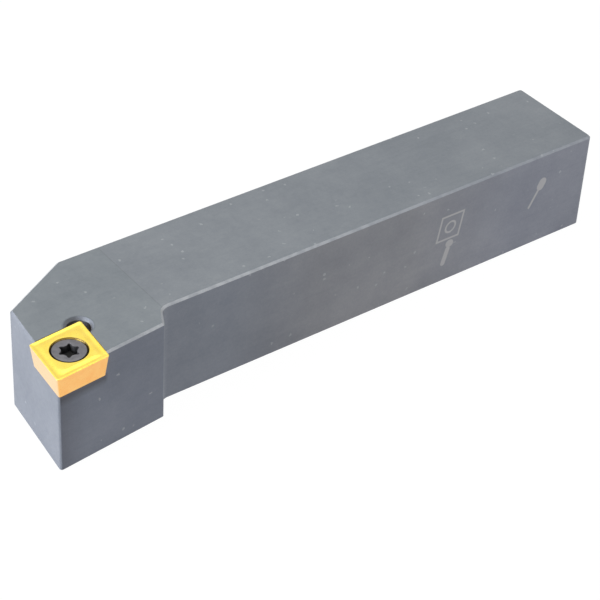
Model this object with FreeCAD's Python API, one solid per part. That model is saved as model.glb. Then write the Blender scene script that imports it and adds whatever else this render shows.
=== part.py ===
import FreeCAD, Part
import math
import os

# Right-hand external turning tool holder with one screw-clamped 80 degree insert.
# Lengths are millimetres and angles are degrees.
# +X runs along the shank from the cutting end to the clamped end, +Z is up.
# The cutting side faces -Y and the straight reference side faces +Y.
# The origin is the middle of the base of the part's box.

# Shank: 3/4 inch square, 4 1/2 inches over all
OVERALL_LENGTH = 114.3
SHANK_HEIGHT = 19.05
SHANK_WIDTH = 19.05

# Head: the nose stands one inch from the reference side
NOSE_REACH = 25.4
HEAD_LENGTH = 22.7
HEAD_BACK_ANGLE = 28.5
HEAD_ROOT_RADIUS = 2.0
SIDE_FACE_ANGLE = 5.8
FRONT_FACE_ANGLE = 6.8
SIDE_FACE_SETBACK = 0.2
FRONT_FACE_SETBACK = 0.02
FAR_CORNER_LENGTH = 15.35
FAR_CORNER_DEPTH = 7.0

# Upright corners of the outline, and the chamfer along its top and bottom edges
BACK_END_RADIUS = 0.8
FAR_CORNER_RADIUS = 0.4
FRONT_CORNER_RADIUS = 0.6
HOLDER_NOSE_RADIUS = 0.45
HEAD_BACK_RADIUS = 0.4
EDGE_CHAMFER = 0.35

# Insert: 3/8 inch inscribed circle, 5/32 inch thick
INSCRIBED_CIRCLE = 9.525
INSERT_THICKNESS = 3.97
INSERT_ANGLE = 80.0
FLANK_ANGLE = 7.0
LEAD_ANGLE = 5.0
NOSE_RADIUS = 0.4
FLANK_FOOT_RADIUS = 0.3

# Chip breaker: a land, a groove and a raised middle, measured in from the cutting edge
LAND_WIDTH = 0.14
GROOVE_WIDTH = 1.24
GROOVE_DEPTH = 0.26
GROOVE_STEPS = 6
PLATEAU_RADIUS = 1.0

# Hole through the insert
HOLE_DIAMETER = 4.4
MOUTH_DIAMETER = 6.1
MOUTH_DEPTH = 0.45

# Pocket in the head
POCKET_CLEARANCE = 0.02
RELIEF_DIAMETER = 3.9
RELIEF_OFFSET = 1.4
RELIEF_DEPTH = 1.5
RELIEF_CHAMFER = 0.45

# Clamp screw: M4 by 10, six-lobed recess
SCREW_DIAMETER = 4.0
SCREW_LENGTH = 10.0
HEAD_DIAMETER = 5.5
HEAD_CONE_ANGLE = 60.0
HEAD_RIM_HEIGHT = 0.25
HEAD_SUNK = 0.1
HEAD_CLEARANCE = 0.03
TIP_CHAMFER = 0.4
LOBE_ACROSS = 3.35
LOBE_WAIST = 2.4
LOBE_TIP_RADIUS = 0.267
LOBE_COUNT = 6
LOBE_TURN = -2.0
RECESS_DEPTH = 1.4
RECESS_CONE_ANGLE = 120.0

# Tapped hole, drawn plain over the top of its thread
THREAD_CLEARANCE = 0.05
TAP_DEPTH = 10.0
TAP_MOUTH_CHAMFER = 0.3
DRILL_POINT_ANGLE = 118.0

# How far a cutting shape runs out past the steel
OVERRUN = 1.0

# Places worked out from the sizes above
FRONT_X = -OVERALL_LENGTH / 2
BACK_X = OVERALL_LENGTH / 2
REFERENCE_Y = NOSE_REACH / 2
NOSE_Y = -NOSE_REACH / 2
SHANK_SIDE_Y = REFERENCE_Y - SHANK_WIDTH
POCKET_FLOOR = SHANK_HEIGHT - INSERT_THICKNESS
APOTHEM = INSCRIBED_CIRCLE / 2
FLANK_INSET = INSERT_THICKNESS * math.tan(math.radians(FLANK_ANGLE))
UP = FreeCAD.Vector(0, 0, 1)

# Directions, in the plan view, that the four flanks of the insert face
SIDE_NORMAL = LEAD_ANGLE - 90.0
REAR_NORMAL = LEAD_ANGLE + INSERT_ANGLE - 90.0
FAR_NORMAL = LEAD_ANGLE + 90.0
FRONT_NORMAL = LEAD_ANGLE + INSERT_ANGLE + 90.0
NOSE_BISECTOR = LEAD_ANGLE + INSERT_ANGLE / 2


def direction(angle):
    """Unit vector in the plan view at an angle from +X."""
    turn = math.radians(angle)
    return FreeCAD.Vector(math.cos(turn), math.sin(turn), 0)


def insert_centre():
    """Middle of the insert in the plan view, from the nose that touches both limits."""
    nose_arc = FreeCAD.Vector(FRONT_X + NOSE_RADIUS, NOSE_Y + NOSE_RADIUS, 0)
    to_middle = (APOTHEM - NOSE_RADIUS) / math.sin(math.radians(INSERT_ANGLE / 2))
    return nose_arc + direction(NOSE_BISECTOR) * to_middle


CENTRE = insert_centre()


def crossing(normal_a, reach_a, normal_b, reach_b):
    """Point where two lines meet, each given by its normal and its distance from the insert's middle."""
    first = direction(normal_a)
    second = direction(normal_b)
    det = first.x * second.y - first.y * second.x
    x = (reach_a * second.y - reach_b * first.y) / det
    y = (reach_b * first.x - reach_a * second.x) / det
    return CENTRE + FreeCAD.Vector(x, y, 0)


def raised(point, height):
    """The same point of the plan view at a height."""
    return FreeCAD.Vector(point.x, point.y, height)


def arcs_and_lines(arcs):
    """Edges of a closed outline: each arc, then the straight line to the next arc."""
    edges = []
    for index, (start, crown, end) in enumerate(arcs):
        edges.append(Part.Arc(start, crown, end).toShape())
        edges.append(Part.makeLine(end, arcs[(index + 1) % len(arcs)][0]))
    return edges


def rhombus_edges(apothem, radius, height):
    """Rounded outline concentric with the insert, at a distance from its middle to each side."""
    normals = [SIDE_NORMAL, REAR_NORMAL, FAR_NORMAL, FRONT_NORMAL, SIDE_NORMAL + 360.0]
    arcs = []
    for normal, following in zip(normals, normals[1:]):
        half_turn = (following - normal) / 2
        to_arc = (apothem - radius) / math.cos(math.radians(half_turn))
        middle = raised(CENTRE + direction(normal + half_turn) * to_arc, height)
        start = middle + direction(normal) * radius
        crown = middle + direction(normal + half_turn) * radius
        end = middle + direction(following) * radius
        arcs.append((start, crown, end))
    return arcs_and_lines(arcs)


def polygon_edges(points, height):
    """Closed straight-sided outline at a height."""
    corners = [raised(point, height) for point in points]
    return [Part.makeLine(start, end) for start, end in zip(corners, corners[1:] + corners[:1])]


def rounded_outline(corners):
    """Closed outline at the base from (point, radius) corners, with an arc at each one.

    An arc takes at most half of the shorter wall beside it.
    """
    arcs = []
    for index, (point, full_radius) in enumerate(corners):
        back = corners[index - 1][0] - point
        ahead = corners[(index + 1) % len(corners)][0] - point
        half_wall = min(back.Length, ahead.Length) / 2
        back.normalize()
        ahead.normalize()
        half_angle = back.getAngle(ahead) / 2
        radius = min(full_radius, half_wall * math.tan(half_angle))
        tangent = radius / math.tan(half_angle)
        inward = (back + ahead).normalize()
        crown = point + inward * (radius / math.sin(half_angle) - radius)
        arcs.append((point + back * tangent, crown, point + ahead * tangent))
    return arcs_and_lines(arcs)


def wall_between(lower, upper):
    """Face between two matching edges: flat between lines, ruled between arcs."""
    low_start, low_end = [vertex.Point for vertex in lower.Vertexes]
    high_start, high_end = [vertex.Point for vertex in upper.Vertexes]
    if isinstance(lower.Curve, Part.Line):
        return Part.Face(Part.makePolygon([low_start, low_end, high_end, high_start, low_start]))
    return Part.makeRuledSurface(lower, upper)


def stacked(outlines):
    """Solid through outlines of matching edges, one above the other."""
    faces = [Part.Face(Part.Wire(outlines[0])), Part.Face(Part.Wire(outlines[-1]))]
    for lower_edges, upper_edges in zip(outlines, outlines[1:]):
        for lower, upper in zip(lower_edges, upper_edges):
            faces.append(wall_between(lower, upper))
    shell = Part.makeShell(faces)
    shell.sewShape()
    solid = Part.makeSolid(shell)
    if solid.Volume < 0:
        solid.reverse()
    return solid


def turned(profile):
    """Solid of revolution about the screw's axis, from (radius, height) points that start and end on it."""
    points = [FreeCAD.Vector(radius, 0, height) for radius, height in profile]
    face = Part.Face(Part.makePolygon(points + points[:1]))
    solid = face.revolve(FreeCAD.Vector(0, 0, 0), UP, 360)
    solid.translate(CENTRE)
    return solid


def head_back(nose):
    """Corners where the head ends on the cutting side, from its nose."""
    side_slope = math.tan(math.radians(SIDE_FACE_ANGLE))
    back_slope = math.tan(math.radians(HEAD_BACK_ANGLE))
    root = FreeCAD.Vector(FRONT_X + HEAD_LENGTH, SHANK_SIDE_Y, 0)
    step = root.y - nose.y - (root.x - nose.x) * side_slope
    if step <= 0:
        run_out = nose.x + (root.y - nose.y) / side_slope
        return [(FreeCAD.Vector(run_out, root.y, 0), HEAD_ROOT_RADIUS)]
    drop = step / (1 - side_slope * back_slope)
    heel = FreeCAD.Vector(root.x - drop * back_slope, root.y - drop, 0)
    return [(heel, HEAD_BACK_RADIUS), (root, HEAD_ROOT_RADIUS)]


def holder_outline():
    """Plan of the holder: square shank, offset head and cut far corner."""
    side_reach = APOTHEM - FLANK_INSET - SIDE_FACE_SETBACK
    front_reach = APOTHEM - FLANK_INSET - FRONT_FACE_SETBACK
    nose = crossing(SIDE_NORMAL, side_reach, FRONT_NORMAL, front_reach)
    front_slope = math.tan(math.radians(FRONT_FACE_ANGLE))
    front_y = REFERENCE_Y - FAR_CORNER_DEPTH
    front = FreeCAD.Vector(nose.x + (front_y - nose.y) * front_slope, front_y, 0)
    far = FreeCAD.Vector(FRONT_X + FAR_CORNER_LENGTH, REFERENCE_Y, 0)

    return rounded_outline([
        (nose, HOLDER_NOSE_RADIUS),
        *head_back(nose),
        (FreeCAD.Vector(BACK_X, SHANK_SIDE_Y, 0), BACK_END_RADIUS),
        (FreeCAD.Vector(BACK_X, REFERENCE_Y, 0), BACK_END_RADIUS),
        (far, FAR_CORNER_RADIUS),
        (front, FRONT_CORNER_RADIUS),
    ])


def holder_bar():
    """Steel bar of the holder's outline, with its top and bottom edges chamfered."""
    bar = Part.Face(Part.Wire(holder_outline())).extrude(UP * SHANK_HEIGHT)
    level_edges = []
    for edge in bar.Edges:
        box = edge.BoundBox
        level = box.ZLength < EDGE_CHAMFER / 10
        if level:
            level_edges.append(edge)
    return bar.makeChamfer(EDGE_CHAMFER, level_edges)


def pocket():
    """Space that the insert drops into: two leaning walls, open at the front and at the cutting side."""
    beyond = INSCRIBED_CIRCLE
    wall_lean = math.tan(math.radians(FLANK_ANGLE))
    sections = []
    for height in (POCKET_FLOOR, SHANK_HEIGHT + OVERRUN):
        wall = APOTHEM + POCKET_CLEARANCE - (SHANK_HEIGHT - height) * wall_lean
        points = [
            crossing(SIDE_NORMAL, beyond, REAR_NORMAL, wall),
            crossing(REAR_NORMAL, wall, FAR_NORMAL, wall),
            crossing(FAR_NORMAL, wall, FRONT_NORMAL, beyond),
            crossing(FRONT_NORMAL, beyond, SIDE_NORMAL, beyond),
        ]
        sections.append(polygon_edges(points, height))
    return stacked(sections)


def relief_hole():
    """Hole that clears the insert's inner corner, chamfered at the top of the holder."""
    corner = crossing(REAR_NORMAL, APOTHEM, FAR_NORMAL, APOTHEM)
    place = corner - direction(NOSE_BISECTOR) * RELIEF_OFFSET
    radius = RELIEF_DIAMETER / 2
    floor = POCKET_FLOOR - RELIEF_DEPTH
    point_depth = radius / math.tan(math.radians(DRILL_POINT_ANGLE / 2))
    profile = [
        (0, floor - point_depth),
        (radius, floor),
        (radius, SHANK_HEIGHT - RELIEF_CHAMFER),
        (radius + RELIEF_CHAMFER + OVERRUN, SHANK_HEIGHT + OVERRUN),
        (0, SHANK_HEIGHT + OVERRUN),
    ]
    hole = turned(profile)
    hole.translate(place - CENTRE)
    return hole


def tapped_hole():
    """Blind hole for the clamp screw, under the middle of the insert."""
    radius = SCREW_DIAMETER / 2 + THREAD_CLEARANCE
    end = POCKET_FLOOR - TAP_DEPTH
    point_depth = radius / math.tan(math.radians(DRILL_POINT_ANGLE / 2))
    profile = [
        (0, end - point_depth),
        (radius, end),
        (radius, POCKET_FLOOR - TAP_MOUTH_CHAMFER),
        (radius + TAP_MOUTH_CHAMFER + OVERRUN, POCKET_FLOOR + OVERRUN),
        (0, POCKET_FLOOR + OVERRUN),
    ]
    return turned(profile)


def holder_body():
    """The holder in one piece."""
    body = holder_bar()
    for space in (pocket(), relief_hole(), tapped_hole()):
        body = body.cut(space)
    return body


def head_cone_drop():
    """Height of the cone under the screw's head."""
    return (HEAD_DIAMETER - SCREW_DIAMETER) / 2 / math.tan(math.radians(HEAD_CONE_ANGLE / 2))


def screw_top():
    """Level of the top of the screw's head."""
    return SHANK_HEIGHT - HEAD_SUNK


def insert_blank():
    """Insert before its hole and chip breaker: a rhombus with leaning flanks."""
    foot = rhombus_edges(APOTHEM - FLANK_INSET, FLANK_FOOT_RADIUS, POCKET_FLOOR)
    rim = rhombus_edges(APOTHEM, NOSE_RADIUS, SHANK_HEIGHT)
    return stacked([foot, rim])


def breaker_groove():
    """Rounded groove that follows the cutting edges, inside their land."""
    outlines = []
    for step in range(GROOVE_STEPS + 1):
        share = step / GROOVE_STEPS
        inset = LAND_WIDTH + GROOVE_WIDTH * (1 - math.cos(math.pi * share)) / 2
        drop = GROOVE_DEPTH * math.sin(math.pi * share)
        radius = NOSE_RADIUS / 2 + (PLATEAU_RADIUS - NOSE_RADIUS / 2) * share
        outlines.append(rhombus_edges(APOTHEM - inset, radius, SHANK_HEIGHT - drop))
    deepest = GROOVE_STEPS // 2
    basin = stacked(outlines[:deepest + 1])
    island = stacked(outlines[deepest:])
    return basin.cut(island)


def insert_hole():
    """Hole through the insert: a plain bore, a seat for the screw's cone and a wider mouth."""
    bore = HOLE_DIAMETER / 2
    mouth = MOUTH_DIAMETER / 2
    lean = math.tan(math.radians(HEAD_CONE_ANGLE / 2))
    gap = HEAD_CLEARANCE / math.cos(math.radians(HEAD_CONE_ANGLE / 2))
    cone_foot = screw_top() - HEAD_RIM_HEIGHT - head_cone_drop()
    seat_start = cone_foot + (bore - SCREW_DIAMETER / 2 - gap) / lean
    seat_end = SHANK_HEIGHT - MOUTH_DEPTH
    seat_radius = SCREW_DIAMETER / 2 + gap + (seat_end - cone_foot) * lean
    flare = (mouth - seat_radius) / MOUTH_DEPTH
    profile = [
        (0, POCKET_FLOOR - OVERRUN),
        (bore, POCKET_FLOOR - OVERRUN),
        (bore, seat_start),
        (seat_radius, seat_end),
        (mouth, SHANK_HEIGHT),
        (mouth + flare * OVERRUN, SHANK_HEIGHT + OVERRUN),
        (0, SHANK_HEIGHT + OVERRUN),
    ]
    return turned(profile)


def insert():
    """The cutting insert in one piece."""
    return insert_blank().cut(breaker_groove()).cut(insert_hole())


def lobed_wire(height):
    """Outline of the six-lobed recess, from arcs that are tangent to each other."""
    half_pitch = 180.0 / LOBE_COUNT
    tip_reach = LOBE_ACROSS / 2 - LOBE_TIP_RADIUS
    waist = LOBE_WAIST / 2
    cosine = math.cos(math.radians(half_pitch))
    above = tip_reach ** 2 + waist ** 2 - 2 * tip_reach * waist * cosine - LOBE_TIP_RADIUS ** 2
    below = 2 * (LOBE_TIP_RADIUS - waist + tip_reach * cosine)
    hollow_radius = above / below
    hollow_reach = waist + hollow_radius

    edges = []
    for lobe in range(LOBE_COUNT):
        angle = LOBE_TURN + lobe * 2 * half_pitch
        tip = direction(angle) * tip_reach
        before = direction(angle - half_pitch) * hollow_reach
        after = direction(angle + half_pitch) * hollow_reach
        start = tip + (before - tip).normalize() * LOBE_TIP_RADIUS
        end = tip + (after - tip).normalize() * LOBE_TIP_RADIUS
        crown = direction(angle) * (LOBE_ACROSS / 2)
        valley = direction(angle + half_pitch) * waist
        next_tip = direction(angle + 2 * half_pitch) * tip_reach
        next_start = next_tip + (after - next_tip).normalize() * LOBE_TIP_RADIUS
        for arc in ((start, crown, end), (end, valley, next_start)):
            edges.append(Part.Arc(*[raised(point, height) for point in arc]).toShape())
    wire = Part.Wire(edges)
    wire.translate(CENTRE)
    return wire


def key_recess():
    """Six-lobed recess in the screw's head, with a shallow cone at its bottom."""
    bottom = screw_top() - RECESS_DEPTH
    lobes = Part.Face(lobed_wire(bottom)).extrude(UP * (RECESS_DEPTH + OVERRUN))
    waist = LOBE_WAIST / 2
    cone_depth = waist / math.tan(math.radians(RECESS_CONE_ANGLE / 2))
    cone = turned([(0, bottom - cone_depth), (waist, bottom), (0, bottom)])
    return lobes.fuse(cone)


def clamp_screw():
    """Clamp screw, with the thread drawn as its plain outside cylinder."""
    shank = SCREW_DIAMETER / 2
    head = HEAD_DIAMETER / 2
    top = screw_top()
    tip = top - SCREW_LENGTH
    rim = top - HEAD_RIM_HEIGHT
    profile = [
        (0, tip),
        (shank - TIP_CHAMFER, tip),
        (shank, tip + TIP_CHAMFER),
        (shank, rim - head_cone_drop()),
        (head, rim),
        (head, top),
        (0, top),
    ]
    return turned(profile).cut(key_recess())


def main():
    """Build every piece and write each to its own file."""
    pieces = {
        "holder_body": holder_body(),
        "insert": insert(),
        "clamp_screw": clamp_screw(),
    }
    os.makedirs("parts", exist_ok=True)
    for name, shape in pieces.items():
        solid = shape.removeSplitter()
        if len(solid.Solids) == 1:
            solid = solid.Solids[0]
        solid.exportStep("parts/" + name + ".step")
        box = solid.BoundBox
        print(name, "valid", solid.isValid(), "solids", len(solid.Solids), "volume", round(solid.Volume, 2))
        print("  from", round(box.XMin, 3), round(box.YMin, 3), round(box.ZMin, 3))
        print("  to", round(box.XMax, 3), round(box.YMax, 3), round(box.ZMax, 3))


main()
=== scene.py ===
import math

import bmesh
import bpy
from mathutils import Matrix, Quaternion, Vector


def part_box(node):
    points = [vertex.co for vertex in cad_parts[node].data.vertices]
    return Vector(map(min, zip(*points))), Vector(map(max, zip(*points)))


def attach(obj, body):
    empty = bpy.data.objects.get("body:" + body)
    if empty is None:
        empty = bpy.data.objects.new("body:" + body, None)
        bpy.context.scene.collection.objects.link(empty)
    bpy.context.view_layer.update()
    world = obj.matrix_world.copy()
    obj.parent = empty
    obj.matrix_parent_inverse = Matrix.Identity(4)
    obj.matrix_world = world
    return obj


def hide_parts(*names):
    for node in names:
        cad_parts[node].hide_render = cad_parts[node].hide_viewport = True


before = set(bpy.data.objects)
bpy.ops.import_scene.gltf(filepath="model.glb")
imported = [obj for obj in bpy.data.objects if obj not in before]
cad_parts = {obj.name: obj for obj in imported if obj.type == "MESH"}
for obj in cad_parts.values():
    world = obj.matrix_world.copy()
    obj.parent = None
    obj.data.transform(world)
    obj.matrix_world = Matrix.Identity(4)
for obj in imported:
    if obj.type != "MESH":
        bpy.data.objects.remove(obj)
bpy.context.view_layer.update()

MM = 0.001

# Camera, matched to the photograph's edges
CAMERA_PLACE = Vector((-171.74, -209.70, 207.80)) * MM
CAMERA_AIM = Vector((-7.52, -6.78, 9.525)) * MM
CAMERA_ROLL = 3.62
CAMERA_LENS = 119.75
CAMERA_SENSOR = 36.0
CAMERA_NEAR = 0.01
CAMERA_FAR = 20.0

# Insert, in millimetres and degrees
INSERT_ANGLE = 80.0
LEAD_ANGLE = 5.0
FLANK_ANGLE = 7.0
NOSE_RADIUS = 0.4
FOOT_RADIUS = 0.3
EDGE_HONE = 0.15
LAND_WIDTH = 0.20
GROOVE_WIDTH = 1.18
GROOVE_DEPTH = 0.12
PLATEAU_RADIUS = 1.0
HOLE_DIAMETER = 4.4
MOUTH_DIAMETER = 6.1
MOUTH_DEPTH = 0.45
FOOT_BEVEL = 0.05

# Clamp screw
SCREW_DIAMETER = 4.0
HEAD_CONE_ANGLE = 60.0
HEAD_RIM_HEIGHT = 0.25
HEAD_CLEARANCE = 0.03
HEAD_EDGE = 0.06
LOBE_COUNT = 6
LOBE_ACROSS = 3.35
LOBE_WAIST = 2.4
LOBE_TIP_RADIUS = 0.267
LOBE_TURN = -2.0
RECESS_DEPTH = 1.4
RECESS_CONE_ANGLE = 120.0
RECESS_CHAMFER = 0.08
TIP_CHAMFER = 0.4

# Thread, shared by the screw and the tapped hole
PITCH = 0.7
CREST_RADIUS = 1.98
ROOT_RADIUS = 1.57
NUT_CREST_RADIUS = 1.70
NUT_ROOT_RADIUS = 2.06
NUT_OUTSIDE_RADIUS = 2.25
TAP_DEPTH = 9.6
TAP_START = 0.45
ROWS_PER_TURN = 12
THREAD_NECK = 0.5
TIP_EDGE = 0.05

# Shares of half a pitch that the thread's flat crest and its flank take
CREST_SHARE = 0.16
FLANK_SHARE = 0.62

# How finely the meshes are made
ARC_STEPS = 12
SIDE_STEPS = 14
HONE_STEPS = 4
GROOVE_ROWS = 18
MOUTH_ROWS = 6
ROUND_STEPS = 120
FLANK_ROWS = (0.3, 0.65, 1.0)
PLATEAU_ROWS = (0.35, 0.7, 0.92)
RECESS_CONE_ROWS = (0.02, 0.5, 0.97)
HEAD_EDGE_ROW = 0.3

# Powers that give the chip breaker's floor and the mouth of the hole their curves
GROOVE_SKEW = 0.8
GROOVE_ROUNDING = 1.25
MOUTH_ROUNDING = 2.5

# Smooth shading breaks at edges sharper than these angles
SMOOTH_ANGLE = 28.0
THREAD_SMOOTH_ANGLE = 24.0

# Softening of the holder's mesh
WELD_REACH = 0.002
EDGE_BEVEL = 0.07
BEVEL_SEGMENTS = 2
BEVEL_ANGLE = 32.0
FACE_WEIGHT = 80

# Scales of the noises in the materials, and the part of a noise's range that is used
STEEL_CLOUD = 90.0
STEEL_GRAIN = 2600.0
STEEL_LINES = 1500.0
LINE_STRETCH = (0.03, 1.0, 1.0)
HIGHLIGHT_AND_WEAR_CLOUD = 700.0
NICK_GRAIN = 2200.0
CARBIDE_CLOUD = 700.0
SCREW_CLOUD = 1200.0
FINE_GRAIN = 9000.0
NOISE_RANGE = (0.3, 0.7)

# Holder's finish: base colours and the tints of its parts, of which the darker tint of the head's near side
# is painted shade
STEEL_TONES = (
    (0.32, (0.192, 0.212, 0.258)),
    (0.50, (0.230, 0.251, 0.299)),
    (0.68, (0.272, 0.292, 0.342)),
)
STEEL_CLOUD_SHARE = 0.7
STEEL_ROUGHNESS = (0.40, 0.52)
TOP_TINT = (0.97, 0.975, 0.93)
HEAD_TOP_TINT = (0.95, 0.97, 0.96)
HEAD_SIDE_SHADE = (0.87, 0.88, 0.92)

# How far a face has to be turned up, or toward the near side, to count as the top or the near side
TOP_FACING = (0.90, 0.98)
SIDE_FACING = (-0.95, -0.85)

# Painted warm light and painted cool light on stretches of the near side, along X in millimetres
WARM_PAINTED_LIGHT = (1.16, 1.09, 1.01)
WARM_LIGHT_START_X = -22.0
WARM_LIGHT_END_X = -4.0
COOL_PAINTED_LIGHT = (0.98, 1.01, 1.10)
COOL_LIGHT_START_X = 16.0
COOL_LIGHT_END_X = 40.0

# Shade of the head's side toward its nose
NOSE_SHADE = (0.05, 0.05, 0.07)
NOSE_SHADE_SHARE = 0.50
NOSE_SHADE_END_X = -51.5

# Faint line across the top where the machined head meets the shank
HEAD_LINE_COLOUR = (0.07, 0.08, 0.09)
HEAD_LINE_SHARE = 0.30
HEAD_LINE_X = -34.45
HEAD_LINE_WIDTH = 0.12

# Painted highlight and wear on the broken edges, found by the slope of the chamfer, in patches and weaker
# toward the clamped end
EDGE_HIGHLIGHT_AND_WEAR_COLOUR = (0.530, 0.550, 0.590)
CHAMFER_SLOPE = 0.707
CHAMFER_SPREAD = (0.08, 0.32)
HIGHLIGHT_AND_WEAR_LEAST = 0.60
HIGHLIGHT_AND_WEAR_PATCHES = (0.35, 0.60)
FRONT_HIGHLIGHT_AND_WEAR = 0.15
FRONT_FACING = (-0.6, -0.3)
HIGHLIGHT_AND_WEAR_FADED = 0.35
HIGHLIGHT_AND_WEAR_FADE_START_X = -20.0
HIGHLIGHT_AND_WEAR_FADE_END_X = 30.0

# Relief hole beside the insert's inner corner, whose broken edge gets neither the painted highlight nor the
# wear, and gets painted shade at its far rim
RELIEF_REACH = 6.0
RELIEF_ANGLE = 45.0
RELIEF_RIM = 2.6
RIM_SHADE = (0.06, 0.065, 0.07)
RIM_SHADE_SHARE = 0.55
RIM_FACING = (0.15, 0.55)

# Shade on the head's side, just under the insert that stands out over it
UNDER_SHADE = (0.030, 0.030, 0.036)
UNDER_SHADE_SHARE = 0.55
UNDER_SHADE_HEIGHT = 2.2
UNDER_SHADE_FULL = 0.9
UNDER_SHADE_END_X = -47.3
UNDER_SHADE_FADE = 0.6
UNDER_SHADE_MARGIN = 0.05

# Small bare nicks of the holder's finish, set at random by a cell texture, in millimetres
NICK_COLOUR = (0.48, 0.50, 0.54)
NICK_SHARE = 0.55
NICK_SPACING = 2.9
NICK_RADIUS = 0.30
NICK_WANDER = 0.8

# Small generic signs for the insert, the screw and the key on the near side, in millimetres:
# the plate's middle as (x, z), and each stroke as both its ends and its half width
SIGN_COLOUR = (0.500, 0.495, 0.510)
SIGN_SHARE = 0.85
PLATE_SIGN = (25.0, 11.6)
PLATE_SIGN_HALF = 2.4
PLATE_SIGN_HOLE = 1.05
PLATE_SIGN_LEAN = 0.18
SIGN_LINE = 0.18
SIGN_EDGE = 0.12
SIGN_STROKES = (
    (24.9, 6.9, 24.1, 4.1, 0.50),
    (25.1, 8.0, 25.3, 8.0, 0.75),
    (43.6, 8.6, 45.7, 12.3, 0.24),
    (45.8, 12.4, 46.2, 13.2, 0.85),
)

# Insert's coating: the tones of the top and of the flanks, the painted light on the flank toward the front,
# and the painted shade in the screw's seat
TOP_FACE_TONES = (
    (0.30, (0.95, 0.70, 0.10)),
    (0.70, (1.00, 0.77, 0.14)),
)
FLANK_TONES = (
    (0.30, (0.98, 0.50, 0.15)),
    (0.70, (1.00, 0.57, 0.19)),
)
FRONT_FLANK_PAINTED_LIGHT = (1.00, 0.70, 0.38)
FRONT_FLANK_FACING = (-0.9, -0.6)
UPWARD_FACING = (0.1, 0.7)
CARBIDE_METALLIC = (0.96, 0.80)
CARBIDE_ROUGHNESS = (0.26, 0.38)
SEAT_PAINTED_SHADE = (0.030, 0.026, 0.024)
SEAT_SHADE_SHARE = 0.92
SEAT_EDGE = (0.10, 0.02)

# Screw's steel: the head, painted shade round its rim and painted shade in the recess
SCREW_TONES = (
    (0.30, (0.134, 0.131, 0.148)),
    (0.70, (0.192, 0.187, 0.206)),
)
SCREW_RIM_PAINTED_SHADE = (0.030, 0.030, 0.036)
SCREW_RIM_EDGE = (0.12, 0.05)
RECESS_PAINTED_SHADE = (0.090, 0.088, 0.095)
RECESS_EDGE = (0.05, 0.01)
RECESS_MARGIN = 1.0
SCREW_METALLIC = 0.7
SCREW_SPECULAR = (0.5, 0.05)
SCREW_ROUGHNESS = (0.38, 0.52)

# Stage and lamps: name, place and width in metres, power in watts and colour
WHITE = (1.0, 1.0, 1.0, 1.0)
AMBIENT_COLOUR = (0.97, 0.985, 1.0, 1.0)
AMBIENT_STRENGTH = 0.10
FLOOR_HALF = 1.6
FLOOR_COLOUR = (0.55, 0.55, 0.55, 1.0)
FLOOR_GLOW = 1.09
FLOOR_WHITE_SHARE = 0.90
LAMPS = (
    ("left_softbox", (-0.62, 0.12, 0.13), 0.45, 6.2, (0.92, 0.95, 1.00)),
    ("top_softbox", (0.05, 0.15, 0.75), 0.60, 1.90, (1.00, 1.00, 0.88)),
    ("end_softbox", (0.22, -0.30, 0.10), 0.18, 0.35, (1.00, 1.00, 1.00)),
)

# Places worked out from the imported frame
INSERT_LOW, INSERT_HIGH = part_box("insert")
SCREW_LOW, SCREW_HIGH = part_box("clamp_screw")
FLOOR_Z = INSERT_LOW[2] / MM
TOP_Z = INSERT_HIGH[2] / MM
AXIS_X = (SCREW_LOW[0] + SCREW_HIGH[0]) / 2 / MM
AXIS_Y = (SCREW_LOW[1] + SCREW_HIGH[1]) / 2 / MM
HEAD_RADIUS = (SCREW_HIGH[0] - SCREW_LOW[0]) / 2 / MM
SCREW_TOP = SCREW_HIGH[2] / MM
SCREW_TIP = SCREW_LOW[2] / MM
NOSE_X = INSERT_LOW[0] / MM
HOLDER_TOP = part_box("holder_body")[1][2] / MM

# Distance from the insert's middle to each cutting edge
NOSE_TO_AXIS = AXIS_X - NOSE_X - NOSE_RADIUS
MIDDLE_TO_NOSE_ARC = NOSE_TO_AXIS / math.cos(math.radians(LEAD_ANGLE + INSERT_ANGLE / 2))
APOTHEM = NOSE_RADIUS + MIDDLE_TO_NOSE_ARC * math.sin(math.radians(INSERT_ANGLE / 2))


def polar(radius, angle):
    """Point of the plan view at a radius and an angle in degrees from the screw's axis."""
    turn = math.radians(angle)
    return Vector((AXIS_X + radius * math.cos(turn), AXIS_Y + radius * math.sin(turn), 0.0))


def lifted(points, height):
    """The same points of the plan view at a height."""
    return [Vector((point.x, point.y, height)) for point in points]


def rhombus_ring(apothem, radius, height):
    """Points of a rounded rhombus round the insert's middle."""
    sharp_turn = 180.0 - INSERT_ANGLE
    side_normal = LEAD_ANGLE - 90.0
    corners = [
        (side_normal, INSERT_ANGLE),
        (side_normal + INSERT_ANGLE, sharp_turn),
        (side_normal + 180.0, INSERT_ANGLE),
        (side_normal + 180.0 + INSERT_ANGLE, sharp_turn),
    ]
    arcs = []
    for normal, turn in corners:
        reach = (apothem - radius) / math.cos(math.radians(turn / 2))
        middle = polar(reach, normal + turn / 2)
        axis = polar(0.0, 0.0)
        arc = []
        for step in range(ARC_STEPS + 1):
            arc.append(middle + polar(radius, normal + turn * step / ARC_STEPS) - axis)
        arcs.append(arc)
    ring = []
    for arc, following in zip(arcs, arcs[1:] + arcs[:1]):
        ring += arc
        for step in range(1, SIDE_STEPS):
            ring.append(arc[-1].lerp(following[0], step / SIDE_STEPS))
    return lifted(ring, height)


def matching_circle(radius, height):
    """Circle with a point in the same direction as each point of the insert's rim."""
    ring = []
    for point in rhombus_ring(APOTHEM, NOSE_RADIUS, height):
        angle = math.degrees(math.atan2(point.y - AXIS_Y, point.x - AXIS_X))
        ring.append(polar(radius, angle))
    return lifted(ring, height)


def circle(radius, height):
    """Circle round the screw's axis."""
    return lifted([polar(radius, 360.0 * step / ROUND_STEPS) for step in range(ROUND_STEPS)], height)


def mixed(first, second, share):
    """Ring part of the way between two rings."""
    return [one.lerp(other, share) for one, other in zip(first, second)]


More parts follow.
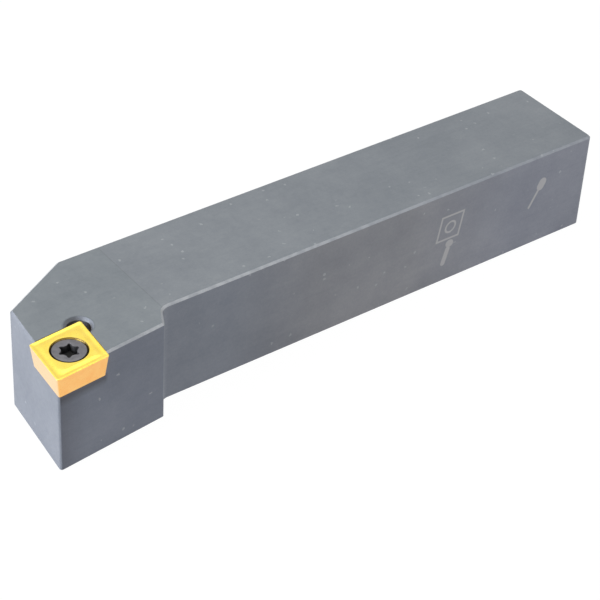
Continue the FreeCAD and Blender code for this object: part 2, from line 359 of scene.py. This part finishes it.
def lofted(name, rings, looped=False):
    """Mesh object through closed rings of equal count, capped at both ends or joined into a loop."""
    count = len(rings[0])
    points = [point * MM for ring in rings for point in ring]
    faces = []
    pairs = list(zip(range(len(rings)), range(1, len(rings))))
    if looped:
        pairs.append((len(rings) - 1, 0))
    for low, high in pairs:
        for step in range(count):
            following = (step + 1) % count
            faces.append((
                low * count + step,
                low * count + following,
                high * count + following,
                high * count + step,
            ))
    if not looped:
        for ring_index in (0, len(rings) - 1):
            ring = rings[ring_index]
            points.append(sum(ring, Vector()) / count * MM)
            for step in range(count):
                following = (step + 1) % count
                faces.append((ring_index * count + step, ring_index * count + following, len(points) - 1))
    return mesh_object(name, points, faces)


def mesh_object(name, points, faces):
    """Linked object from points in metres, with its faces turned outward."""
    mesh = bpy.data.meshes.new(name)
    mesh.from_pydata(points, [], faces)
    piece = bpy.data.objects.new(name, mesh)
    bpy.context.collection.objects.link(piece)
    turn_outward(mesh)
    return piece


def turn_outward(mesh):
    """Make all faces of a closed mesh look outward."""
    work = bmesh.new()
    work.from_mesh(mesh)
    bmesh.ops.recalc_face_normals(work, faces=work.faces)
    work.to_mesh(mesh)
    work.free()


def shaded(piece, angle=SMOOTH_ANGLE):
    """Smooth shading that breaks at edges sharper than an angle in degrees."""
    for polygon in piece.data.polygons:
        polygon.use_smooth = True
    piece.data.set_sharp_from_angle(angle=math.radians(angle))
    return piece


def build_insert():
    """Cutting insert: honed edge, moulded chip breaker, countersunk hole and leaning flanks."""
    lean = math.tan(math.radians(FLANK_ANGLE))
    cone = math.radians(HEAD_CONE_ANGLE / 2)
    bore = HOLE_DIAMETER / 2
    mouth = MOUTH_DIAMETER / 2
    gap = HEAD_CLEARANCE / math.cos(cone)
    neck = SCREW_DIAMETER / 2
    cone_foot = SCREW_TOP - HEAD_RIM_HEIGHT - (HEAD_RADIUS - neck) / math.tan(cone)
    seat_start = cone_foot + (bore - neck - gap) / math.tan(cone)
    seat_end = TOP_Z - MOUTH_DEPTH
    seat_radius = neck + gap + (seat_end - cone_foot) * math.tan(cone)

    rings = []
    foot = APOTHEM - (TOP_Z - FLOOR_Z) * lean
    rings.append(matching_circle(bore + FOOT_BEVEL, FLOOR_Z))
    rings.append(rhombus_ring(foot - FOOT_BEVEL, FOOT_RADIUS, FLOOR_Z))
    rings.append(rhombus_ring(foot + FOOT_BEVEL * lean, FOOT_RADIUS, FLOOR_Z + FOOT_BEVEL))
    for share in FLANK_ROWS:
        height = FLOOR_Z + (TOP_Z - EDGE_HONE - FLOOR_Z) * share
        radius = FOOT_RADIUS + (NOSE_RADIUS - FOOT_RADIUS) * share
        rings.append(rhombus_ring(APOTHEM - (TOP_Z - height) * lean, radius, height))
    for step in range(1, HONE_STEPS + 1):
        turn = math.radians(90.0 * step / HONE_STEPS)
        inset = EDGE_HONE * (1 - math.cos(turn))
        drop = EDGE_HONE * (1 - math.sin(turn))
        rings.append(rhombus_ring(APOTHEM - inset, NOSE_RADIUS - inset, TOP_Z - drop))
    for step in range(GROOVE_ROWS + 1):
        share = step / GROOVE_ROWS
        inset = LAND_WIDTH + GROOVE_WIDTH * share
        drop = GROOVE_DEPTH * math.sin(math.pi * share ** GROOVE_SKEW) ** GROOVE_ROUNDING
        radius = NOSE_RADIUS / 2 + (PLATEAU_RADIUS - NOSE_RADIUS / 2) * share
        rings.append(rhombus_ring(APOTHEM - inset, radius, TOP_Z - drop))
    plateau = rings[-1]
    lip = matching_circle(mouth, TOP_Z)
    for share in PLATEAU_ROWS:
        rings.append(mixed(plateau, lip, share))
    for step in range(MOUTH_ROWS + 1):
        share = step / MOUTH_ROWS
        radius = mouth + (seat_radius - mouth) * share ** MOUTH_ROUNDING
        rings.append(matching_circle(radius, TOP_Z - MOUTH_DEPTH * share))
    rings.append(matching_circle(bore, seat_start))
    rings.append(matching_circle(bore, FLOOR_Z + FOOT_BEVEL))
    return shaded(lofted("coated_insert", rings, looped=True))


def lobe_reach(angle):
    """Distance from the axis to the wall of the six-lobed recess at an angle in degrees."""
    half_pitch = math.pi / LOBE_COUNT
    turn = math.radians(angle - LOBE_TURN)
    offset = abs((turn + half_pitch) % (2 * half_pitch) - half_pitch)
    tip_reach = LOBE_ACROSS / 2 - LOBE_TIP_RADIUS
    waist = LOBE_WAIST / 2
    above = tip_reach ** 2 + waist ** 2 - 2 * tip_reach * waist * math.cos(half_pitch) - LOBE_TIP_RADIUS ** 2
    hollow = above / (2 * (LOBE_TIP_RADIUS - waist + tip_reach * math.cos(half_pitch)))
    hollow_reach = waist + hollow
    across = hollow_reach * math.sin(half_pitch)
    along = hollow_reach * math.cos(half_pitch) - tip_reach
    share = LOBE_TIP_RADIUS / math.hypot(across, along)
    join_angle = math.atan2(across * share, tip_reach + along * share)
    if offset < join_angle:
        inner = LOBE_TIP_RADIUS ** 2 - (tip_reach * math.sin(offset)) ** 2
        return tip_reach * math.cos(offset) + math.sqrt(inner)
    behind = half_pitch - offset
    inner = hollow ** 2 - (hollow_reach * math.sin(behind)) ** 2
    return hollow_reach * math.cos(behind) - math.sqrt(inner)


def lobed_ring(grow, height):
    """Outline of the recess, grown outward by a distance."""
    ring = []
    for step in range(ROUND_STEPS):
        angle = 360.0 * step / ROUND_STEPS
        ring.append(polar(lobe_reach(angle) + grow, angle))
    return lifted(ring, height)


def thread_depth(angle, height):
    """How far the thread's flank has sunk from crest (0) to root (1), for a right-hand helix."""
    phase = (height / PITCH - angle / 360.0) % 1.0
    from_crest = min(phase, 1.0 - phase) * 2
    return min(max((from_crest - CREST_SHARE) / FLANK_SHARE, 0.0), 1.0)


def thread_ring(crest, root, height, strength):
    """Ring cut across a helical thread, whose depth is scaled by a strength from 0 to 1."""
    ring = []
    for step in range(ROUND_STEPS):
        angle = 360.0 * step / ROUND_STEPS
        radius = crest + (root - crest) * thread_depth(angle, height) * strength
        ring.append(polar(radius, angle))
    return lifted(ring, height)


def build_screw():
    """Clamp screw: six-lobed recess, countersunk head and a rolled thread."""
    bottom = SCREW_TOP - RECESS_DEPTH
    waist = LOBE_WAIST / 2
    cone_depth = waist / math.tan(math.radians(RECESS_CONE_ANGLE / 2))
    neck = SCREW_DIAMETER / 2
    rim = SCREW_TOP - HEAD_RIM_HEIGHT
    cone_foot = rim - (HEAD_RADIUS - neck) / math.tan(math.radians(HEAD_CONE_ANGLE / 2))

    rings = [circle(waist * share, bottom - cone_depth * (1 - share)) for share in RECESS_CONE_ROWS]
    rings.append(lobed_ring(0.0, bottom))
    rings.append(lobed_ring(0.0, SCREW_TOP - RECESS_CHAMFER))
    rings.append(lobed_ring(RECESS_CHAMFER, SCREW_TOP))
    rings.append(mixed(rings[-1], circle(HEAD_RADIUS - HEAD_EDGE, SCREW_TOP), 0.5))
    rings.append(circle(HEAD_RADIUS - HEAD_EDGE, SCREW_TOP))
    rings.append(circle(HEAD_RADIUS - HEAD_EDGE * HEAD_EDGE_ROW, SCREW_TOP - HEAD_EDGE * HEAD_EDGE_ROW))
    rings.append(circle(HEAD_RADIUS, SCREW_TOP - HEAD_EDGE))
    rings.append(circle(HEAD_RADIUS, rim))
    rings.append(circle(neck, cone_foot))

    thread_top = cone_foot - THREAD_NECK
    rings.append(circle(CREST_RADIUS, thread_top))
    thread_end = SCREW_TIP + TIP_CHAMFER
    row_height = PITCH / ROWS_PER_TURN
    rows = int((thread_top - thread_end) / row_height)
    for row in range(1, rows + 1):
        height = thread_top - row * row_height
        strength = min(row / ROWS_PER_TURN, 1.0)
        rings.append(thread_ring(CREST_RADIUS, ROOT_RADIUS, height, strength))
    rings.append(circle(ROOT_RADIUS, SCREW_TIP + TIP_EDGE))
    rings.append(circle(ROOT_RADIUS - TIP_EDGE, SCREW_TIP))
    return shaded(lofted("threaded_clamp_screw", rings), THREAD_SMOOTH_ANGLE)


def build_tapped_thread():
    """Thread cut in the holder's hole, as a sleeve whose inside carries the ridges."""
    top = FLOOR_Z - TAP_START
    end = FLOOR_Z - TAP_DEPTH
    row_height = PITCH / ROWS_PER_TURN
    rows = int((top - end) / row_height)
    rings = [circle(NUT_OUTSIDE_RADIUS, end), circle(NUT_OUTSIDE_RADIUS, top), circle(NUT_ROOT_RADIUS, top)]
    for row in range(1, rows):
        height = top - row * row_height
        from_end = min(row, rows - row) / ROWS_PER_TURN
        rings.append(thread_ring(NUT_ROOT_RADIUS, NUT_CREST_RADIUS, height, min(from_end, 1.0)))
    rings.append(circle(NUT_ROOT_RADIUS, end))
    return shaded(lofted("tapped_thread", rings, looped=True), THREAD_SMOOTH_ANGLE)


class Nodes:
    """Short way to add and join the nodes of one material."""

    def __init__(self, name):
        self.material = bpy.data.materials.new(name)
        self.material.use_nodes = True
        self.tree = self.material.node_tree
        self.tree.nodes.clear()
        self.output = self.tree.nodes.new("ShaderNodeOutputMaterial")

    def add(self, kind, inputs=None, **settings):
        """Add a node, set its properties and join or set its inputs."""
        node = self.tree.nodes.new("ShaderNode" + kind)
        for key, value in settings.items():
            setattr(node, key, value)
        for key, value in (inputs or {}).items():
            if isinstance(value, bpy.types.NodeSocket):
                self.tree.links.new(value, node.inputs[key])
            else:
                node.inputs[key].default_value = value
        return node

    def noise(self, scale, detail=4.0, rough=0.55, stretch=(1.0, 1.0, 1.0)):
        """Noise value over the object, stretched along its axes."""
        place = self.add("TexCoord").outputs["Object"]
        mapping = self.add("Mapping", {"Vector": place, "Scale": stretch})
        inputs = {"Vector": mapping.outputs[0], "Scale": scale, "Detail": detail, "Roughness": rough}
        return self.add("TexNoise", inputs).outputs["Fac"]

    def ramp(self, value, stops):
        """Colour ramp through (place, colour) stops."""
        node = self.add("ValToRGB", {"Fac": value})
        while len(node.color_ramp.elements) < len(stops):
            node.color_ramp.elements.new(0.5)
        for element, (place, colour) in zip(node.color_ramp.elements, stops):
            element.position = place
            element.color = (*colour, 1.0)
        return node.outputs["Color"]

    def span(self, value, low, high, start=0.0, end=1.0):
        """Map a value from one range to another, held at both ends."""
        inputs = {"Value": value, "From Min": start, "From Max": end, "To Min": low, "To Max": high}
        return self.add("MapRange", inputs).outputs["Result"]

    def math(self, operation, first, second=0.0):
        """One arithmetic step."""
        return self.add("Math", {0: first, 1: second}, operation=operation).outputs[0]

    def product(self, first, *others):
        """Product of several values."""
        for other in others:
            first = self.math("MULTIPLY", first, other)
        return first

    def parts(self, vector):
        """X, Y and Z of a vector."""
        return self.add("SeparateXYZ", {0: vector}).outputs

    def bump(self, height, strength, distance):
        """Normal that follows a fine height."""
        inputs = {"Height": height, "Strength": strength, "Distance": distance}
        return self.add("Bump", inputs).outputs[0]

    def blend(self, share, first, second, mode="MIX"):
        """Mix two colours."""
        node = self.add("Mix", data_type="RGBA", blend_type=mode)
        for name, value in (("Factor_Float", share), ("A_Color", first), ("B_Color", second)):
            socket = next(item for item in node.inputs if item.identifier == name)
            if isinstance(value, bpy.types.NodeSocket):
                self.tree.links.new(value, socket)
            elif name == "Factor_Float":
                socket.default_value = value
            else:
                socket.default_value = (*value, 1.0)
        return next(item for item in node.outputs if item.identifier == "Result_Color")

    def finish(self, shader):
        """Join the shader to the output."""
        self.tree.links.new(shader.outputs[0], self.output.inputs["Surface"])
        return self.material


def nick_share(nodes):
    """Value that is 1 on the small bare nicks of the finish."""
    place = nodes.add("TexCoord").outputs["Object"]
    wander = nodes.add("TexNoise", {"Vector": place, "Scale": NICK_GRAIN, "Detail": 3.0}).outputs["Color"]
    centred = nodes.add("VectorMath", {0: wander, 1: (0.5, 0.5, 0.5)}, operation="SUBTRACT").outputs[0]
    reach = (NICK_WANDER * MM, NICK_WANDER * MM, NICK_WANDER * MM)
    inputs = {0: centred, 1: reach, 2: place}
    moved = nodes.add("VectorMath", inputs, operation="MULTIPLY_ADD").outputs[0]
    cells = nodes.add("TexVoronoi", {"Vector": moved, "Scale": 1.0 / (NICK_SPACING * MM)})
    radius = NICK_RADIUS / NICK_SPACING
    return nodes.span(cells.outputs["Distance"], 1.0, 0.0, radius / 2, radius)


def stroke_share(nodes, along, up, stroke):
    """Value that is 1 on a round-ended stroke of the near side, given as its ends and half width."""
    x1, z1, x2, z2, half_width = stroke
    length = math.hypot(x2 - x1, z2 - z1)
    way_x = (x2 - x1) / length
    way_z = (z2 - z1) / length
    dx = nodes.math("SUBTRACT", along, x1 * MM)
    dz = nodes.math("SUBTRACT", up, z1 * MM)
    reached = nodes.math("ADD", nodes.math("MULTIPLY", dx, way_x), nodes.math("MULTIPLY", dz, way_z))
    held = nodes.math("MINIMUM", nodes.math("MAXIMUM", reached, 0.0), length * MM)
    off_x = nodes.math("SUBTRACT", dx, nodes.math("MULTIPLY", held, way_x))
    off_z = nodes.math("SUBTRACT", dz, nodes.math("MULTIPLY", held, way_z))
    return drawn(nodes, hypotenuse(nodes, off_x, off_z), half_width)


def hypotenuse(nodes, first, second):
    """Length from two sides at right angles."""
    squares = nodes.math("ADD", nodes.product(first, first), nodes.product(second, second))
    return nodes.math("SQRT", squares)


def drawn(nodes, distance, half_width):
    """Value that is 1 within half a line's width of its middle, with a soft edge."""
    inner = (half_width - SIGN_EDGE / 2) * MM
    outer = (half_width + SIGN_EDGE / 2) * MM
    return nodes.span(distance, 1.0, 0.0, inner, outer)


def sign_share(nodes, along, up):
    """Value that is 1 on the small signs of the near side."""
    up_from = nodes.math("SUBTRACT", up, PLATE_SIGN[1] * MM)
    lean = nodes.math("MULTIPLY", up_from, PLATE_SIGN_LEAN)
    across = nodes.math("SUBTRACT", nodes.math("SUBTRACT", along, PLATE_SIGN[0] * MM), lean)
    box = nodes.math("MAXIMUM", nodes.math("ABSOLUTE", across), nodes.math("ABSOLUTE", up_from))
    from_frame = nodes.math("ABSOLUTE", nodes.math("SUBTRACT", box, PLATE_SIGN_HALF * MM))
    ring = nodes.math("SUBTRACT", hypotenuse(nodes, across, up_from), PLATE_SIGN_HOLE * MM)
    frame_line = drawn(nodes, from_frame, SIGN_LINE)
    hole_line = drawn(nodes, nodes.math("ABSOLUTE", ring), SIGN_LINE)
    share = nodes.math("MAXIMUM", frame_line, hole_line)
    for stroke in SIGN_STROKES:
        share = nodes.math("MAXIMUM", share, stroke_share(nodes, along, up, stroke))
    return share


def along_shank(nodes, place, start, end, first=0.0, last=1.0):
    """Value that changes from one number to another between two X places in millimetres."""
    return nodes.span(place["X"], first, last, start * MM, end * MM)


def tinted_faces(nodes, colour, place, top, near_side):
    """Tones of the top and the near side, which change along the holder, with painted shade on the near side
    of the head and toward its nose, and painted warm and cool light on stretches of the near side further
    back.
    """
    in_head = nodes.math("LESS_THAN", place["X"], HEAD_LINE_X * MM)
    to_nose = along_shank(nodes, place, NOSE_X, NOSE_SHADE_END_X, NOSE_SHADE_SHARE, 0.0)
    from_line = nodes.math("ABSOLUTE", nodes.math("SUBTRACT", place["X"], HEAD_LINE_X * MM))
    line = nodes.span(from_line, HEAD_LINE_SHARE, 0.0, 0.0, HEAD_LINE_WIDTH * MM)
    warm_light = along_shank(nodes, place, WARM_LIGHT_START_X, WARM_LIGHT_END_X)
    cool_light = along_shank(nodes, place, COOL_LIGHT_START_X, COOL_LIGHT_END_X)
    colour = nodes.blend(nodes.product(top, in_head), colour, HEAD_TOP_TINT, "MULTIPLY")
    # painted shade: the near side of the head darkened
    colour = nodes.blend(nodes.product(near_side, in_head), colour, HEAD_SIDE_SHADE, "MULTIPLY")
    colour = nodes.blend(nodes.product(near_side, to_nose), colour, NOSE_SHADE)
    colour = nodes.blend(nodes.product(top, line), colour, HEAD_LINE_COLOUR)
    # painted warm light and painted cool light on stretches of the near side
    colour = nodes.blend(nodes.product(near_side, warm_light), colour, WARM_PAINTED_LIGHT, "MULTIPLY")
    colour = nodes.blend(nodes.product(near_side, cool_light), colour, COOL_PAINTED_LIGHT, "MULTIPLY")
    return nodes.blend(top, colour, TOP_TINT, "MULTIPLY")


def broken_edges(nodes, colour, place, facing):
    """Painted highlight and wear on the broken edges, apart from the relief hole's, whose far rim gets
    painted shade.
    """
    off_slope = nodes.math("ABSOLUTE", nodes.math("SUBTRACT", facing["Z"], CHAMFER_SLOPE))
    chamfer = nodes.span(off_slope, 1.0, 0.0, *CHAMFER_SPREAD)
    patchy = nodes.span(nodes.noise(HIGHLIGHT_AND_WEAR_CLOUD, detail=3.0), HIGHLIGHT_AND_WEAR_LEAST, 1.0, *HIGHLIGHT_AND_WEAR_PATCHES)
    relief = polar(RELIEF_REACH, RELIEF_ANGLE)
    whole = nodes.add("TexCoord").outputs["Object"]
    inputs = {0: whole, 1: (relief.x * MM, relief.y * MM, HOLDER_TOP * MM)}
    from_relief = nodes.add("VectorMath", inputs, operation="DISTANCE").outputs["Value"]
    outer_edge = nodes.math("GREATER_THAN", from_relief, RELIEF_RIM * MM)
    off_front = nodes.span(facing["X"], FRONT_HIGHLIGHT_AND_WEAR, 1.0, *FRONT_FACING)
    faded = along_shank(nodes, place, HIGHLIGHT_AND_WEAR_FADE_START_X, HIGHLIGHT_AND_WEAR_FADE_END_X, 1.0, HIGHLIGHT_AND_WEAR_FADED)
    # painted highlight on the chamfers, patchy like wear
    highlight_and_wear = nodes.product(chamfer, patchy, outer_edge, off_front, faded)
    colour = nodes.blend(highlight_and_wear, colour, EDGE_HIGHLIGHT_AND_WEAR_COLOUR)
    sideways = nodes.math("ABSOLUTE", facing["X"])
    far_rim = nodes.product(chamfer, nodes.span(sideways, RIM_SHADE_SHARE, 0.0, *RIM_FACING))
    on_rim = nodes.math("SUBTRACT", 1.0, outer_edge)
    return nodes.blend(nodes.product(far_rim, on_rim), colour, RIM_SHADE)


def under_insert(nodes, colour, place, near_side):
    """Shade on the head's side, just under the insert."""
    low = (FLOOR_Z - UNDER_SHADE_HEIGHT) * MM
    high = (FLOOR_Z - UNDER_SHADE_FULL) * MM
    under = nodes.span(place["Z"], 0.0, UNDER_SHADE_SHARE, low, high)
    beside = along_shank(nodes, place, UNDER_SHADE_END_X - UNDER_SHADE_FADE, UNDER_SHADE_END_X, 1.0, 0.0)
    below_pocket = nodes.math("LESS_THAN", place["Z"], (FLOOR_Z + UNDER_SHADE_MARGIN) * MM)
    return nodes.blend(nodes.product(under, beside, below_pocket, near_side), colour, UNDER_SHADE)


def blackened_steel():
    """Satin blue-grey finish of the holder: fine grain, painted highlight and wear on the broken edges,
    nicks, a faint head line, and painted light and shade on its faces.
    """
    nodes = Nodes("blackened_steel")
    place = nodes.parts(nodes.add("TexCoord").outputs["Object"])
    facing = nodes.parts(nodes.add("NewGeometry").outputs["True Normal"])
    top = nodes.span(facing["Z"], 0.0, 1.0, *TOP_FACING)
    near_side = nodes.span(facing["Y"], 1.0, 0.0, *SIDE_FACING)
    cloud = nodes.noise(STEEL_CLOUD, detail=5.0, rough=0.6)
    grain = nodes.noise(STEEL_GRAIN, detail=3.0, rough=0.7)
    lines = nodes.noise(STEEL_LINES, detail=2.0, rough=0.5, stretch=LINE_STRETCH)
    clouded = nodes.math("MULTIPLY", cloud, STEEL_CLOUD_SHARE)
    grained = nodes.math("MULTIPLY", grain, 1.0 - STEEL_CLOUD_SHARE)
    colour = nodes.ramp(nodes.math("ADD", clouded, grained), STEEL_TONES)
    colour = tinted_faces(nodes, colour, place, top, near_side)
    signs = nodes.product(sign_share(nodes, place["X"], place["Z"]), near_side)
    colour = nodes.blend(nodes.math("MULTIPLY", signs, SIGN_SHARE), colour, SIGN_COLOUR)
    colour = broken_edges(nodes, colour, place, facing)
    colour = nodes.blend(nodes.math("MULTIPLY", nick_share(nodes), NICK_SHARE), colour, NICK_COLOUR)
    colour = under_insert(nodes, colour, place, near_side)
    height = nodes.math("ADD", nodes.math("MULTIPLY", grain, 0.5), nodes.math("MULTIPLY", lines, 0.6))
    return nodes.finish(nodes.add("BsdfPrincipled", {
        "Base Color": colour,
        "Metallic": 0.30,
        "Roughness": nodes.span(lines, *STEEL_ROUGHNESS, *NOISE_RANGE),
        "Normal": nodes.bump(height, 0.14, 0.00002),
    }))


def from_axis(nodes):
    """Distance of the painted point from the screw's axis, and its height."""
    place = nodes.parts(nodes.add("TexCoord").outputs["Object"])
    across = nodes.math("SUBTRACT", place["X"], AXIS_X * MM)
    along = nodes.math("SUBTRACT", place["Y"], AXIS_Y * MM)
    return hypotenuse(nodes, across, along), place["Z"]


def coated_carbide():
    """Golden-yellow coating of the insert, with the fine grain of pressed carbide, painted light on the
    flank toward the front and painted shade in the screw's seat.
    """
    nodes = Nodes("coated_carbide")
    cloud = nodes.noise(CARBIDE_CLOUD, detail=4.0)
    grain = nodes.noise(FINE_GRAIN, detail=2.0, rough=0.6)
    facing = nodes.parts(nodes.add("TexCoord").outputs["Normal"])
    upward = nodes.span(facing["Z"], 0.0, 1.0, *UPWARD_FACING)
    forward = nodes.span(facing["X"], 1.0, 0.0, *FRONT_FLANK_FACING)
    # painted light: the flank toward the front made paler
    flank_colour = nodes.blend(forward, nodes.ramp(cloud, FLANK_TONES), FRONT_FLANK_PAINTED_LIGHT)
    colour = nodes.blend(upward, flank_colour, nodes.ramp(cloud, TOP_FACE_TONES))
    reach = from_axis(nodes)[0]
    edge = [(MOUTH_DIAMETER / 2 - inset) * MM for inset in SEAT_EDGE]
    in_seat = nodes.span(reach, 1.0, 0.0, *edge)
    # painted shade in the seat round the screw's head
    colour = nodes.blend(nodes.math("MULTIPLY", in_seat, SEAT_SHADE_SHARE), colour, SEAT_PAINTED_SHADE)
    return nodes.finish(nodes.add("BsdfPrincipled", {
        "Base Color": colour,
        "Metallic": nodes.span(upward, *CARBIDE_METALLIC),
        "Roughness": nodes.span(grain, *CARBIDE_ROUGHNESS, *NOISE_RANGE),
        "Normal": nodes.bump(grain, 0.18, 0.00001),
    }))


def screw_steel():
    """Dark phosphated steel of the screw, with painted shade in the recess and round the head's rim."""
    nodes = Nodes("screw_steel")
    steel = nodes.ramp(nodes.noise(SCREW_CLOUD, detail=4.0), SCREW_TONES)
    grain = nodes.noise(FINE_GRAIN, detail=2.0, rough=0.6)
    reach, height = from_axis(nodes)
    below = [(SCREW_TOP - drop) * MM for drop in RECESS_EDGE]
    below_face = nodes.span(height, 1.0, 0.0, *below)
    above_floor = nodes.math("GREATER_THAN", height, (SCREW_TOP - RECESS_DEPTH - RECESS_MARGIN) * MM)
    near_axis = nodes.math("LESS_THAN", reach, (LOBE_ACROSS / 2 + RECESS_CHAMFER) * MM)
    in_recess = nodes.product(below_face, above_floor, near_axis)
    edge = [(HEAD_RADIUS - inset) * MM for inset in SCREW_RIM_EDGE]
    # painted shade round the head's rim
    colour = nodes.blend(nodes.span(reach, 0.0, 1.0, *edge), steel, SCREW_RIM_PAINTED_SHADE)
    # painted shade inside the six-lobed recess
    colour = nodes.blend(in_recess, colour, RECESS_PAINTED_SHADE)
    return nodes.finish(nodes.add("BsdfPrincipled", {
        "Base Color": colour,
        "Metallic": nodes.span(in_recess, SCREW_METALLIC, 0.0),
        "Specular IOR Level": nodes.span(in_recess, *SCREW_SPECULAR),
        "Roughness": nodes.span(grain, *SCREW_ROUGHNESS, *NOISE_RANGE),
        "Normal": nodes.bump(grain, 0.2, 0.00001),
    }))


def paint(piece, material):
    """Give a piece its one material."""
    piece.data.materials.clear()
    piece.data.materials.append(material)


def seen_share(tree):
    """Value that is 1 for what the camera sees directly, mirrored or through glass."""
    path = tree.nodes.new("ShaderNodeLightPath")
    value = path.outputs["Is Camera Ray"]
    for name in ("Is Glossy Ray", "Is Transmission Ray"):
        step = tree.nodes.new("ShaderNodeMath")
        step.operation = "MAXIMUM"
        tree.links.new(value, step.inputs[0])
        tree.links.new(path.outputs[name], step.inputs[1])
        value = step.outputs[0]
    return value


def white_world():
    """World that looks white and lights the object softly."""
    world = bpy.data.worlds.new("studio")
    world.use_nodes = True
    tree = world.node_tree
    tree.nodes.clear()
    output = tree.nodes.new("ShaderNodeOutputWorld")
    seen = tree.nodes.new("ShaderNodeBackground")
    seen.inputs["Color"].default_value = WHITE
    seen.inputs["Strength"].default_value = 1.0
    ambient = tree.nodes.new("ShaderNodeBackground")
    ambient.inputs["Color"].default_value = AMBIENT_COLOUR
    ambient.inputs["Strength"].default_value = AMBIENT_STRENGTH
    choice = tree.nodes.new("ShaderNodeMixShader")
    tree.links.new(seen_share(tree), choice.inputs[0])
    tree.links.new(ambient.outputs[0], choice.inputs[1])
    tree.links.new(seen.outputs[0], choice.inputs[2])
    tree.links.new(choice.outputs[0], output.inputs["Surface"])
    bpy.context.scene.world = world


def pale_floor():
    """Plain pale floor that looks white and keeps the object's soft shadow."""
    half = FLOOR_HALF
    points = [(-half, -half, 0.0), (half, -half, 0.0), (half, half, 0.0), (-half, half, 0.0)]
    floor = mesh_object("floor", points, [(0, 1, 2, 3)])
    nodes = Nodes("pale_floor")
    plain = nodes.add("BsdfDiffuse", {"Color": FLOOR_COLOUR})
    white = nodes.add("Emission", {"Color": WHITE, "Strength": FLOOR_GLOW})
    share = nodes.math("MULTIPLY", seen_share(nodes.tree), FLOOR_WHITE_SHARE)
    choice = nodes.add("MixShader", {0: share, 1: plain.outputs[0], 2: white.outputs[0]})
    floor.data.materials.append(nodes.finish(choice))


def soft_lamp(name, place, size, watts, colour):
    """Square studio lamp aimed at the object."""
    lamp = bpy.data.lights.new(name, "AREA")
    lamp.shape = "SQUARE"
    lamp.size = size
    lamp.energy = watts
    lamp.color = colour
    holder = bpy.data.objects.new(name, lamp)
    bpy.context.collection.objects.link(holder)
    holder.location = place
    holder.rotation_mode = "QUATERNION"
    holder.rotation_quaternion = (CAMERA_AIM - Vector(place)).to_track_quat("-Z", "Y")


def camera():
    """Camera at the photograph's viewing angle."""
    data = bpy.data.cameras.new("camera")
    data.lens = CAMERA_LENS
    data.sensor_width = CAMERA_SENSOR
    data.clip_start = CAMERA_NEAR
    data.clip_end = CAMERA_FAR
    holder = bpy.data.objects.new("camera", data)
    bpy.context.collection.objects.link(holder)
    holder.location = CAMERA_PLACE
    holder.rotation_mode = "QUATERNION"
    aim = (CAMERA_AIM - CAMERA_PLACE).to_track_quat("-Z", "Y")
    holder.rotation_quaternion = aim @ Quaternion((0.0, 0.0, 1.0), math.radians(CAMERA_ROLL))
    bpy.context.scene.camera = holder


def soften_holder(holder):
    """Break the sharp edges of the holder's mesh slightly, as its finishing does."""
    weld = holder.modifiers.new("joined_points", "WELD")
    weld.merge_threshold = WELD_REACH * MM
    bevel = holder.modifiers.new("broken_edges", "BEVEL")
    bevel.width = EDGE_BEVEL * MM
    bevel.segments = BEVEL_SEGMENTS
    bevel.limit_method = "ANGLE"
    bevel.angle_limit = math.radians(BEVEL_ANGLE)
    shaded(holder)
    even = holder.modifiers.new("even_faces", "WEIGHTED_NORMAL")
    even.weight = FACE_WEIGHT
    even.keep_sharp = True


def main():
    """Dress the part and set the stage."""
    steel = blackened_steel()
    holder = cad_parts["holder_body"]
    paint(holder, steel)
    soften_holder(holder)

    insert = build_insert()
    paint(insert, coated_carbide())
    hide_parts("insert")
    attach(insert, "insert")

    screw = build_screw()
    paint(screw, screw_steel())
    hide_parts("clamp_screw")
    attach(screw, "screw")

    tapped = build_tapped_thread()
    paint(tapped, steel)
    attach(tapped, "holder")

    white_world()
    pale_floor()
    for lamp in LAMPS:
        soft_lamp(*lamp)
    camera()
    bpy.context.scene.view_settings.view_transform = "Standard"


main()
